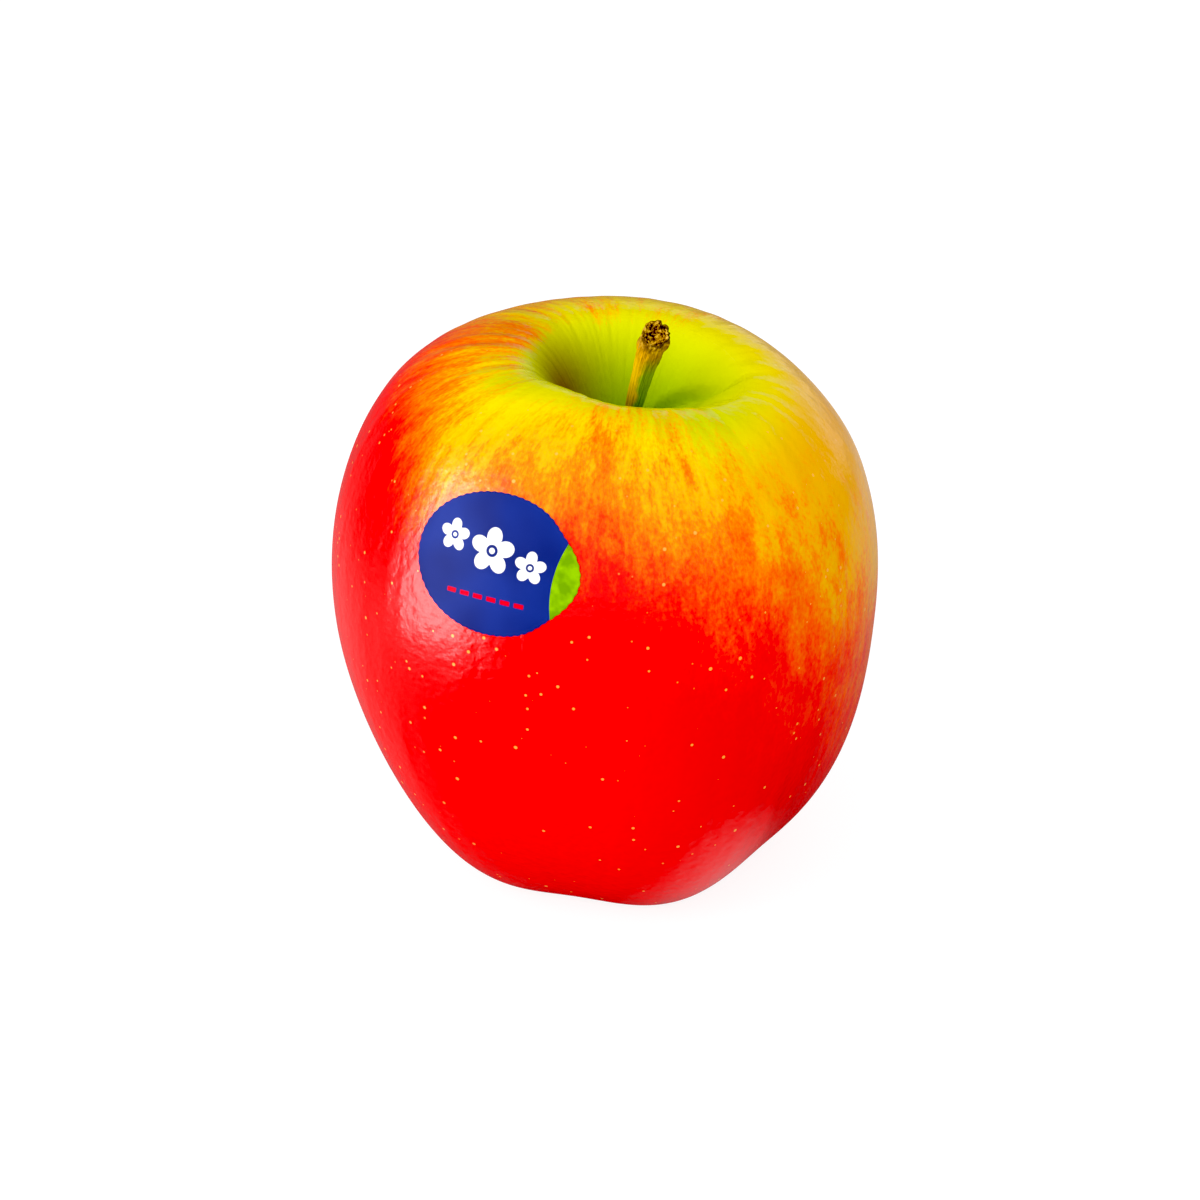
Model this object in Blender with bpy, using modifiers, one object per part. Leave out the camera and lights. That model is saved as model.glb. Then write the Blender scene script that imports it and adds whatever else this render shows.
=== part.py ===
"""A whole eating apple with its stem, its fruit sticker and its dried calyx.

Metres, +Z up. The fruit rests on the plane z = 0, with the origin below its middle.
Run with: blender --background --python part.py
"""

import math

import bmesh
import bpy
import numpy as np
from mathutils import Matrix, Vector

# The fruit as a turned shape: its half section from the stem cavity to the calyx basin
CHEEK_RADIUS = 0.0361
CHEEK_HEIGHT = 0.0416
CREST_RADIUS = 0.0147
CREST_HEIGHT = 0.0724
CAVITY_DEPTH = 0.0175
FOOT_RADIUS = 0.0160
BASIN_DEPTH = 0.0075

# How full each bend of the half section is: the reach of its Bezier handles, as shares of the span
CAVITY_FLOOR_REACH = 0.33
CREST_INNER_REACH = 0.56
CREST_OUTER_REACH = 0.51
SHOULDER_REACH = 0.38
CHEEK_REACH = 0.53
FOOT_OUTER_REACH = 0.38
FOOT_INNER_REACH = 0.40
BASIN_REACH = 0.35

# What growing did to the turned shape; a furrow or brow is (height, azimuth, width)
LOBES = 5
LOBE_AZIMUTH = math.radians(-69.0)
LOBE_SWELL = 0.036
LOBE_SWELL_ABOVE = 0.15
LOBE_DROP = 0.00045
FURROW = (-0.0009, math.radians(-42.0), 0.45)
BROW = (0.0013, math.radians(-128.0), 0.50)
CREST_TIP = -0.0010
CAVITY_SHIFT = (0.0022, -0.0003)
FOOT_SHIFT = (0.0013, -0.0010)
REST_TRIM = 0.00025

# Stem: its rise above the cavity floor, how far its tip swings, its root in the flesh
STEM_RISE = 0.0231
STEM_SWING = (0.0044, -0.0035)
STEM_BEND = 0.45
STEM_ROOT = 0.0030
STEM_RADIUS = 0.00125
STEM_FOOT_FLARE = 0.35
KNOB_RADIUS = 0.0021
KNOB_START = 0.72
KNOB_END = 0.93
KNOB_HOLLOW = 0.0007
KNOB_FACE = (0.15, -0.55, 0.82)
SOCKET_TOP = 0.6

# Sticker: an oval laid on the shoulder, its long axis turned clockwise by its tilt
STICKER_WIDTH = 0.0226
STICKER_HEIGHT = 0.0181
STICKER_THICKNESS = 0.0002
STICKER_AZIMUTH = math.radians(-114.2)
STICKER_ARC = 0.66
STICKER_TILT = math.radians(2.0)

# Calyx: the dried sepals and the stub of stamens between them
SEPAL_LENGTH = 0.0052
SEPAL_WIDTH = 0.0026
SEPAL_THICKNESS = 0.0004
SEPAL_CURL = 0.0024
SEPAL_CUP = 0.12
SEPAL_TAPER = 0.92
SEPAL_RING_RADIUS = 0.0025
STAMEN_LENGTH = 0.0036
STAMEN_RADIUS = 0.0014
STAMEN_COUNT = 12
STAMEN_FLUTE = 0.12

# Space left between pieces that touch on the real fruit
CLEARANCE = 0.0003

# Fineness of the faceted solids
TURN_STEPS = 60
ARC_STEPS = 10
STEM_POINTS = 20


def smooth(value, low, high):
    """0 below low, 1 above high and an S-shaped step between them."""
    t = np.clip((value - low) / (high - low), 0.0, 1.0)
    return t * t * (3.0 - 2.0 * t)


def hill(azimuth, centre, width):
    """A bell of height 1 around one azimuth, its width in radians."""
    away = (azimuth - centre + math.pi) % math.tau - math.pi
    return np.exp(-((away / width) ** 2))


def half_section():
    """Bezier knots of the half section, each as (left handle, knot, right handle) in (radius, z)."""
    floor = CREST_HEIGHT - CAVITY_DEPTH
    crest_to_cheek = CHEEK_RADIUS - CREST_RADIUS
    foot_to_cheek = CHEEK_RADIUS - FOOT_RADIUS
    cheek_top = CREST_HEIGHT - SHOULDER_REACH * (CREST_HEIGHT - CHEEK_HEIGHT)
    return [
        ((0.0, floor), (0.0, floor), (CAVITY_FLOOR_REACH * CREST_RADIUS, floor)),
        (
            ((1.0 - CREST_INNER_REACH) * CREST_RADIUS, CREST_HEIGHT),
            (CREST_RADIUS, CREST_HEIGHT),
            (CREST_RADIUS + CREST_OUTER_REACH * crest_to_cheek, CREST_HEIGHT),
        ),
        (
            (CHEEK_RADIUS, cheek_top),
            (CHEEK_RADIUS, CHEEK_HEIGHT),
            (CHEEK_RADIUS, (1.0 - CHEEK_REACH) * CHEEK_HEIGHT),
        ),
        (
            (FOOT_RADIUS + FOOT_OUTER_REACH * foot_to_cheek, 0.0),
            (FOOT_RADIUS, 0.0),
            ((1.0 - FOOT_INNER_REACH) * FOOT_RADIUS, 0.0),
        ),
        ((BASIN_REACH * FOOT_RADIUS, BASIN_DEPTH), (0.0, BASIN_DEPTH), (0.0, BASIN_DEPTH)),
    ]


def on_section(arc, t):
    """Points (radius, z) at t = 0..1 along one arc of the half section, counted from the cavity."""
    knots = half_section()
    start, leave = knots[arc][1:]
    arrive, end = knots[arc + 1][:2]
    t = np.asarray(t, dtype=float)[..., None]
    start, leave, arrive, end = (np.array(p) for p in (start, leave, arrive, end))
    rest = 1.0 - t
    return rest**3 * start + 3 * rest**2 * t * leave + 3 * rest * t**2 * arrive + t**3 * end


def grow(points):
    """Move points of the turned shape to where they lie on the lobed and leaning fruit."""
    x, y, z = points.T
    radius = np.hypot(x, y)
    azimuth = np.arctan2(y, x)
    level = z / CREST_HEIGHT
    low = 1.0 - smooth(level, 0.0, 0.6)
    high = smooth(level, 0.75, 1.0)
    off_axis = smooth(radius, 0.06 * FOOT_RADIUS, 0.56 * FOOT_RADIUS)
    lobe = np.cos(LOBES * (azimuth - LOBE_AZIMUTH))

    grown_radius = radius * (1.0 + LOBE_SWELL * lobe * (low + LOBE_SWELL_ABOVE))
    grown_z = z + LOBE_DROP * 0.5 * (1.0 - lobe) * low**3 * off_axis
    for height, centre, width in (FURROW, BROW):
        grown_z += height * hill(azimuth, centre, width) * high * off_axis
    grown_z += CREST_TIP * np.cos(azimuth) * high * radius / CHEEK_RADIUS

    in_cavity = np.where(level > 0.5, 1.0 - smooth(radius, 0.33 * CHEEK_RADIUS, 0.83 * CHEEK_RADIUS), 0.0)
    at_foot = 1.0 - smooth(level, 0.1, 0.5)
    grown_x = CAVITY_SHIFT[0] * in_cavity + FOOT_SHIFT[0] * at_foot + grown_radius * np.cos(azimuth)
    grown_y = CAVITY_SHIFT[1] * in_cavity + FOOT_SHIFT[1] * at_foot + grown_radius * np.sin(azimuth)
    return np.column_stack((grown_x, grown_y, grown_z - REST_TRIM))


def on_skin(arc, t, azimuth):
    """The point of the grown skin above t on one arc, at one azimuth."""
    radius, z = on_section(arc, t)
    turned = np.array([[radius * math.cos(azimuth), radius * math.sin(azimuth), z]])
    return Vector(grow(turned)[0])


def clear_scene():
    for obj in list(bpy.data.objects):
        bpy.data.objects.remove(obj, do_unlink=True)


def new_collection(name):
    collection = bpy.data.collections.new(name)
    bpy.context.scene.collection.children.link(collection)
    return collection


def new_material(name, colour, roughness):
    material = bpy.data.materials.new(name)
    material.use_nodes = True
    shader = material.node_tree.nodes["Principled BSDF"]
    shader.inputs["Base Color"].default_value = (*colour, 1.0)
    shader.inputs["Roughness"].default_value = roughness
    shader.inputs["Metallic"].default_value = 0.0
    return material


def add_part(name, mesh, material=None):
    """A finished piece: in the apple's collection, carried by the core empty."""
    obj = bpy.data.objects.new(name, mesh)
    parts.objects.link(obj)
    obj.parent = core
    if material and not mesh.materials:
        mesh.materials.append(material)
    return obj


def add_cutter(name, mesh):
    """A shape that only cuts: in its own collection, left out of the build."""
    obj = bpy.data.objects.new(name, mesh)
    cutters.objects.link(obj)
    obj.parent = core
    obj.hide_render = True
    obj.display_type = "WIRE"
    return obj


def cut(target, cutter):
    modifier = target.modifiers.new("cut_" + cutter.name, "BOOLEAN")
    modifier.operation = "DIFFERENCE"
    modifier.object = cutter


def mesh_from_curve(curve_object, merge_distance):
    """The curve's evaluated mesh with its doubled points joined, in place of the curve."""
    bpy.context.view_layer.update()
    evaluated = curve_object.evaluated_get(bpy.context.evaluated_depsgraph_get())
    mesh = bpy.data.meshes.new_from_object(evaluated)
    bpy.data.objects.remove(curve_object, do_unlink=True)
    shape = bmesh.new()
    shape.from_mesh(mesh)
    bmesh.ops.remove_doubles(shape, verts=shape.verts, dist=merge_distance)
    shape.to_mesh(mesh)
    shape.free()
    return mesh


def turned_mesh():
    """The half section as a Bezier curve, turned once around Z by a Screw modifier."""
    curve = bpy.data.curves.new("half_section", "CURVE")
    curve.dimensions = "3D"
    curve.resolution_u = ARC_STEPS
    curve.render_resolution_u = ARC_STEPS
    spline = curve.splines.new("BEZIER")
    knots = half_section()
    spline.bezier_points.add(len(knots) - 1)
    for point, (left, knot, right) in zip(spline.bezier_points, knots):
        point.handle_left_type = "FREE"
        point.handle_right_type = "FREE"
        point.co = (knot[0], 0.0, knot[1])
        point.handle_left = (left[0], 0.0, left[1])
        point.handle_right = (right[0], 0.0, right[1])
    section = bpy.data.objects.new("half_section", curve)
    cutters.objects.link(section)
    screw = section.modifiers.new("turn", "SCREW")
    screw.axis = "Z"
    screw.angle = math.tau
    screw.steps = TURN_STEPS
    screw.render_steps = TURN_STEPS
    screw.use_merge_vertices = True
    screw.merge_threshold = 0.00001
    return mesh_from_curve(section, 0.00001)


def make_fruit():
    mesh = turned_mesh()
    points = np.empty(len(mesh.vertices) * 3)
    mesh.vertices.foreach_get("co", points)
    mesh.vertices.foreach_set("co", grow(points.reshape(-1, 3)).ravel())
    mesh.shade_smooth()
    fruit = add_part("fruit", mesh, new_material("waxed_skin", (0.78, 0.05, 0.01), 0.22))

    # Ground the whole footprint flat at z = 0, where the lobes reach a little lower
    ground = bmesh.new()
    size = 4.0 * CHEEK_RADIUS
    below = Matrix.Translation((0.0, 0.0, -0.5 * size))
    bmesh.ops.create_cube(ground, size=size, matrix=below)
    ground_mesh = bpy.data.meshes.new("rest_plane")
    ground.to_mesh(ground_mesh)
    ground.free()
    cut(fruit, add_cutter("rest_plane", ground_mesh))
    return fruit


def stem_path(start, end):
    """Points of the stem's middle line; 0 is the cavity floor and 1 is the tip."""
    floor = on_skin(0, 0.0, 0.0)
    t = np.linspace(start, end, STEM_POINTS)
    swing = (1.0 - STEM_BEND) * t + STEM_BEND * t * np.abs(t)
    x = floor.x + STEM_SWING[0] * swing
    y = floor.y + STEM_SWING[1] * swing
    return t, np.column_stack((x, y, floor.z + STEM_RISE * t))


def stem_radius(t):
    """The stem swells a little at the floor and widens into the knob below its tip."""
    foot = STEM_FOOT_FLARE * STEM_RADIUS * np.exp(-((t / 0.12) ** 2))
    knob = (KNOB_RADIUS - STEM_RADIUS) * smooth(t, KNOB_START, KNOB_END)
    rounding = 0.25 * KNOB_RADIUS * smooth(t, KNOB_END, 1.0)
    return STEM_RADIUS + foot + knob - rounding


def stem_mesh(name, start, end, extra):
    """A bevelled curve along the stem, with its radius enlarged by extra."""
    t, path = stem_path(start, end)
    curve = bpy.data.curves.new(name, "CURVE")
    curve.dimensions = "3D"
    curve.bevel_depth = STEM_RADIUS
    curve.bevel_resolution = 4
    curve.use_fill_caps = True
    spline = curve.splines.new("POLY")
    spline.points.add(len(path) - 1)
    for point, place, radius in zip(spline.points, path, stem_radius(t) + extra):
        point.co = (*place, 1.0)
        point.radius = radius / STEM_RADIUS
    tube = bpy.data.objects.new(name, curve)
    cutters.objects.link(tube)
    return mesh_from_curve(tube, 0.00001)


def make_stem(fruit):
    """The stem, the socket that it is seated in and the hollow of its broken-off end."""
    root = -STEM_ROOT / STEM_RISE
    mesh = stem_mesh("stem", root, 1.0, 0.0)
    mesh.shade_smooth()
    stem = add_part("stem", mesh, new_material("dry_stem", (0.20, 0.11, 0.02), 0.7))

    socket_end = root - CLEARANCE / STEM_RISE
    socket = add_cutter("stem_socket", stem_mesh("stem_socket", socket_end, SOCKET_TOP, CLEARANCE))
    cut(fruit, socket)

    tip = Vector(stem_path(0.0, 1.0)[1][-1])
    outward = Vector(KNOB_FACE).normalized()
    ball_radius = 1.3 * KNOB_RADIUS
    ball = bmesh.new()
    centre = Matrix.Translation(tip + outward * (ball_radius - KNOB_HOLLOW))
    bmesh.ops.create_uvsphere(ball, u_segments=20, v_segments=12, radius=ball_radius, matrix=centre)
    ball_mesh = bpy.data.meshes.new("knob_hollow")
    ball.to_mesh(ball_mesh)
    ball.free()
    cut(stem, add_cutter("knob_hollow", ball_mesh))


def make_sticker(fruit):
    """An oval sheet, pressed onto the skin along its own normal and then given its thickness."""
    centre = on_skin(1, STICKER_ARC, STICKER_AZIMUTH)
    upper = on_skin(1, STICKER_ARC - 0.05, STICKER_AZIMUTH)
    right = on_skin(1, STICKER_ARC, STICKER_AZIMUTH + 0.05)
    normal = (right - centre).cross(upper - centre).normalized()
    level = Vector((0.0, 0.0, 1.0)).cross(normal).normalized()
    frame = Matrix((level, normal.cross(level), normal)).transposed().to_4x4()

    sheet = bmesh.new()
    bmesh.ops.create_grid(sheet, x_segments=12, y_segments=12, size=1.0)
    for vertex in sheet.verts:
        x, y = vertex.co.xy
        vertex.co.x = 0.5 * STICKER_WIDTH * x * math.sqrt(1.0 - 0.5 * y * y)
        vertex.co.y = 0.5 * STICKER_HEIGHT * y * math.sqrt(1.0 - 0.5 * x * x)
    mesh = bpy.data.meshes.new("fruit_sticker")
    sheet.to_mesh(mesh)
    sheet.free()
    mesh.shade_smooth()

    sticker = add_part("fruit_sticker", mesh, new_material("printed_film", (0.01, 0.03, 0.30), 0.35))
    lift = Matrix.Translation(centre + normal * 0.2 * STICKER_WIDTH)
    sticker.matrix_local = lift @ frame @ Matrix.Rotation(-STICKER_TILT, 4, "Z")
    press = sticker.modifiers.new("press", "SHRINKWRAP")
    press.target = fruit
    press.wrap_method = "PROJECT"
    press.use_project_z = True
    press.use_positive_direction = False
    press.use_negative_direction = True
    press.offset = CLEARANCE
    film = sticker.modifiers.new("film", "SOLIDIFY")
    film.thickness = STICKER_THICKNESS
    film.offset = 1.0


def basin_ceiling(radius):
    """Height of the basin's skin above the resting plane, at one distance from its axis."""
    section = on_section(3, np.linspace(1.0, 0.0, 50))
    return float(np.interp(radius, section[:, 0], section[:, 1])) - REST_TRIM


def sepal_blade():
    """A pointed blade that hangs from the basin and curls outwards, on a small grid."""
    seat_radius = math.hypot(SEPAL_RING_RADIUS, 0.5 * SEPAL_WIDTH) + SEPAL_THICKNESS
    top = basin_ceiling(seat_radius) - CLEARANCE
    blade = bmesh.new()
    bmesh.ops.create_grid(blade, x_segments=4, y_segments=8, size=1.0)
    for vertex in blade.verts:
        across, along = vertex.co.x, 0.5 * (vertex.co.y + 1.0)
        half_width = 0.5 * SEPAL_WIDTH * (1.0 - SEPAL_TAPER * along**1.5)
        cup = SEPAL_CUP * SEPAL_WIDTH * across**2
        vertex.co.x = SEPAL_RING_RADIUS + SEPAL_CURL * along**2.2 + cup
        vertex.co.y = across * half_width
        vertex.co.z = top - SEPAL_LENGTH * along * (1.0 - 0.18 * along)
    mesh = bpy.data.meshes.new("sepal")
    blade.to_mesh(mesh)
    blade.free()
    mesh.shade_smooth()
    return mesh


def make_calyx():
    foot = Vector((*FOOT_SHIFT, 0.0))
    dry = new_material("dry_calyx", (0.07, 0.035, 0.015), 0.85)
    blade = sepal_blade()
    for index in range(LOBES):
        sepal = add_part(f"sepal_{index + 1}", blade, dry)
        sepal.location = foot
        sepal.rotation_euler.z = LOBE_AZIMUTH + (index + 0.5) * math.tau / LOBES
        thick = sepal.modifiers.new("thickness", "SOLIDIFY")
        thick.thickness = SEPAL_THICKNESS
        thick.offset = 0.0

    # The withered stamens hold together as one fluted stub
    stub = bmesh.new()
    top = basin_ceiling(STAMEN_RADIUS) - CLEARANCE
    place = Matrix.Translation(foot + Vector((0.0, 0.0, top - 0.5 * STAMEN_LENGTH)))
    bmesh.ops.create_cone(
        stub,
        cap_ends=True,
        segments=2 * STAMEN_COUNT,
        radius1=0.55 * STAMEN_RADIUS,
        radius2=STAMEN_RADIUS,
        depth=STAMEN_LENGTH,
        matrix=place,
    )
    for vertex in stub.verts:
        from_axis = vertex.co - foot
        flute = STAMEN_FLUTE * math.cos(STAMEN_COUNT * math.atan2(from_axis.y, from_axis.x))
        vertex.co.x += flute * from_axis.x
        vertex.co.y += flute * from_axis.y
    mesh = bpy.data.meshes.new("stamens")
    stub.to_mesh(mesh)
    stub.free()
    add_part("stamens", mesh, new_material("dry_stamens", (0.05, 0.025, 0.01), 0.9))


def centre_on_origin(fruit):
    """Carry the core so that the middle of the fruit's footprint box is on the Z axis."""
    corners = [Vector(corner) for corner in fruit.bound_box]
    middle = 0.5 * (corners[0] + corners[6])
    core.location = (-middle.x, -middle.y, 0.0)


clear_scene()
parts = new_collection("apple")
cutters = new_collection("cutters")
core = bpy.data.objects.new("core", None)
parts.objects.link(core)

whole_fruit = make_fruit()
make_stem(whole_fruit)
make_sticker(whole_fruit)
make_calyx()
centre_on_origin(whole_fruit)
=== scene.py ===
import math

import bpy
import numpy as np
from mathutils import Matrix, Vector


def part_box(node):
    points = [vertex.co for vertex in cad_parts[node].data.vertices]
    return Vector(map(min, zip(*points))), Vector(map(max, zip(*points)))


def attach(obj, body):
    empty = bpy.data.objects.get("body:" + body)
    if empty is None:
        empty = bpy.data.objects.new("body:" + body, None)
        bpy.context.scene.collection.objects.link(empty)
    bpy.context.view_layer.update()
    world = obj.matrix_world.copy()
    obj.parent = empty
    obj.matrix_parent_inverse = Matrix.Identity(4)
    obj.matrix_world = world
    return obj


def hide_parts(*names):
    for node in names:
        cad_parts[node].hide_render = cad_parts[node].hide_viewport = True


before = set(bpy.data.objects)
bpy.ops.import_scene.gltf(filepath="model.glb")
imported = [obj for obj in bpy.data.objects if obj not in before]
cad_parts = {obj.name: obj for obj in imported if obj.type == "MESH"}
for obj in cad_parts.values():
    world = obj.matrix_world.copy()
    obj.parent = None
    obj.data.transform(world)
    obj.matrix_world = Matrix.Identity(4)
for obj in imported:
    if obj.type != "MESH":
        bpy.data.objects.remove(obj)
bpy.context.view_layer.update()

# A whole waxed eating apple, red over yellow, with its stem, a film sticker and its dried calyx.
# Shapes are worked out in millimetres on the fruit's own axis, then moved onto the CAD fruit. A station
# runs along the fruit's half section: 0 at the cavity floor, 1 on the crest, 2 at the cheek, 3 at the
# foot and 4 in the middle of the basin.
mm = 0.001
# a Mix node's colour sockets, by their place on the node
mixFactor, mixFrom, mixTo, mixResult = 0, 6, 7, 2


def hexColour(text):
    # sRGB hex to the linear red, green and blue that Blender's sockets take
    srgb = np.array([int(text[k:k + 2], 16) for k in (1, 3, 5)]) / 255.0
    linear = np.where(srgb <= 0.04045, srgb / 12.92, ((srgb + 0.055) / 1.055) ** 2.4)
    return (*linear.tolist(), 1.0)


def smooth(value, low, high):
    # 0 up to low, 1 from high on, and 3t^2 - 2t^3 between them
    t = np.clip((value - low) / (high - low), 0.0, 1.0)
    return t * t * (3.0 - 2.0 * t)


def window(value, rise, fall):
    # eases up over the first pair of limits and back down over the second
    return smooth(value, *rise) * (1.0 - smooth(value, *fall))


def hill(turn, centre, width):
    # exp(-(angle from centre / width)^2), a bell whose angle closes after one turn
    away = (turn - centre + math.pi) % math.tau - math.pi
    return np.exp(-((away / width) ** 2))


def ripple(turn, along, turnWaves, alongWaves, count, seed):
    # the sum of count cosines with whole waves round the turn and random phases, brought to unit size
    draw = np.random.default_rng(seed)
    total = 0.0
    for _ in range(count):
        waves = draw.integers(1, turnWaves + 1)
        climb = draw.uniform(-alongWaves, alongWaves) * math.tau
        total = total + np.cos(waves * turn + climb * along + draw.uniform(0.0, math.tau))
    return total / math.sqrt(0.5 * count)


def addNode(tree, kind, inputs=None, **settings):
    # adds one node; an input takes a value, or a link when it is given another node's output
    node = tree.nodes.new(kind)
    for name, value in settings.items():
        setattr(node, name, value)
    for name, value in (inputs or {}).items():
        if isinstance(value, bpy.types.NodeSocket):
            tree.links.new(value, node.inputs[name])
        else:
            node.inputs[name].default_value = value
    return node


def addStops(rampNode, stops):
    # fills a Color Ramp from (position, hex colour) pairs
    elements = rampNode.color_ramp.elements
    while len(elements) > 1:
        elements.remove(elements[-1])
    for index, (position, colour) in enumerate(stops):
        stop = elements[0] if index == 0 else elements.new(position)
        stop.position = position
        stop.color = hexColour(colour)


def newMaterial(name):
    # an empty material with a Principled shader on its output
    material = bpy.data.materials.new(name)
    material.use_nodes = True
    tree = material.node_tree
    tree.nodes.clear()
    output = addNode(tree, "ShaderNodeOutputMaterial")
    shader = addNode(tree, "ShaderNodeBsdfPrincipled")
    tree.links.new(shader.outputs["BSDF"], output.inputs["Surface"])
    return material, tree, shader


def closedGrid(name, points, attributes, material):
    # points is rows x columns x 3 in mm; columns close round the turn, and the first and last
    # rows are poles, so the surface is one closed body. Faces are turned outwards by its volume.
    rows, columns = points.shape[:2]
    inner = np.arange((rows - 2) * columns).reshape(rows - 2, columns) + 1
    nextColumn = np.roll(inner, -1, axis=1)
    quads = np.stack((inner[:-1], inner[1:], nextColumn[1:], nextColumn[:-1]), axis=-1).reshape(-1, 4)
    lastIndex = inner[-1, -1] + 1
    topFan = np.stack((np.zeros(columns, int), inner[0], nextColumn[0]), axis=-1)
    endFan = np.stack((np.full(columns, lastIndex), nextColumn[-1], inner[-1]), axis=-1)
    place = flatRows(points)
    triangles = np.concatenate((quads[:, [0, 1, 2]], quads[:, [0, 2, 3]], topFan, endFan))
    corner = place[triangles]
    volume = np.einsum("ij,ij->i", corner[:, 0], np.cross(corner[:, 1], corner[:, 2])).sum()
    if volume < 0.0:
        quads, topFan, endFan = quads[:, ::-1], topFan[:, ::-1], endFan[:, ::-1]
    mesh = bpy.data.meshes.new(name)
    mesh.from_pydata((place * mm).tolist(), [], quads.tolist() + topFan.tolist() + endFan.tolist())
    for key, values in attributes.items():
        isVector = values.ndim == 3
        layer = mesh.attributes.new(key, "FLOAT_VECTOR" if isVector else "FLOAT", "POINT")
        layer.data.foreach_set("vector" if isVector else "value", flatRows(values).ravel())
    mesh.shade_smooth()
    mesh.materials.append(material)
    piece = bpy.data.objects.new(name, mesh)
    bpy.context.scene.collection.objects.link(piece)
    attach(piece, "root")
    return piece


def flatRows(values):
    # one value for each pole and one for every point between them, in the mesh's order
    values = np.asarray(values, dtype=float)
    middle = values[1:-1].reshape(-1, *values.shape[2:])
    return np.concatenate((values[:1].mean(axis=1), middle, values[-1:].mean(axis=1)))


fruitForm = {
    "cheekRadius": 36.1,
    "cheekHeight": 41.6,
    "crestRadius": 14.7,
    "crestHeight": 72.4,
    "cavityDepth": 17.5,
    "footRadius": 16.0,
    "basinDepth": 7.5,
    # how far the handles of the half section's four arcs reach, as shares
    "floorReach": 0.33,
    "wallTuck": 0.44,
    "crestReach": 0.51,
    "cheekRise": 0.38,
    "cheekFall": 0.47,
    "footReach": 0.38,
    "lipReach": 0.60,
    "basinTuck": 0.35,
    "lobes": 5,
    "lobeTurn": math.radians(-69.0),
    "lobeSwell": 0.034,
    "lobeSwellAbove": 0.15,
    "lobeDrop": 0.42,
    # rises and dips of the crest: height in mm, middle, width
    "furrow": (-0.9, math.radians(-42.0), 0.45),
    "brow": (1.3, math.radians(-128.0), 0.50),
    "saddle": (-2.2, math.radians(-6.0), 0.60),
    "crestTip": -1.0,
    "cavityShift": (2.2, -0.3),
    "footShift": (1.3, -1.0),
    "restTrim": 0.25,
    # the cavity's opened side and the swell in its wall: mm, middle, width
    "openSide": (3.0, math.radians(-4.0), 0.62),
    "wallSwell": (1.1, math.radians(-18.0), 0.28),
    # the fold in the cavity's wall: mm down, mm outwards, its turn at the foot and at the rim, width
    "fold": (1.2, 1.2, math.radians(46.0), math.radians(4.0), 0.10),
    "lumps": 0.10,
    "crestRibs": 0.038,
    # the stations over which each of these eases in and out again
    "openSpan": ((0.34, 0.92), (0.92, 1.80)),
    "swellSpan": ((0.30, 0.55), (0.66, 0.95)),
    "foldSpan": ((0.12, 0.40), (0.62, 1.00)),
    "foldTurnSpan": (0.36, 0.78),
    "lumpSpan": ((1.0, 1.6), (2.6, 3.0)),
    "ribSpan": ((0.35, 0.90), (1.5, 2.1)),
}


def halfSection(station):
    # four cubic Bezier arcs in (radius, height): cavity wall, shoulder, lower side and basin
    f = fruitForm
    crest, cheek, foot = f["crestRadius"], f["cheekRadius"], f["footRadius"]
    top, middle = f["crestHeight"], f["cheekHeight"]
    floor = top - f["cavityDepth"]
    arcs = np.array([
        [(0, floor), (f["floorReach"] * crest, floor), (f["wallTuck"] * crest, top), (crest, top)],
        [(crest, top), (crest + f["crestReach"] * (cheek - crest), top),
         (cheek, top - f["cheekRise"] * (top - middle)), (cheek, middle)],
        [(cheek, middle), (cheek, f["cheekFall"] * middle),
         (foot + f["footReach"] * (cheek - foot), 0), (foot, 0)],
        [(foot, 0), (f["lipReach"] * foot, 0),
         (f["basinTuck"] * foot, f["basinDepth"]), (0, f["basinDepth"])],
    ])
    index = np.clip(np.floor(station).astype(int), 0, 3)
    t = (station - index)[..., None]
    a, b, c, d = np.moveaxis(arcs[index], -2, 0)
    point = (1 - t) ** 3 * a + 3 * (1 - t) ** 2 * t * b + 3 * (1 - t) * t ** 2 * c + t ** 3 * d
    return point[..., 0], point[..., 1]


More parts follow.
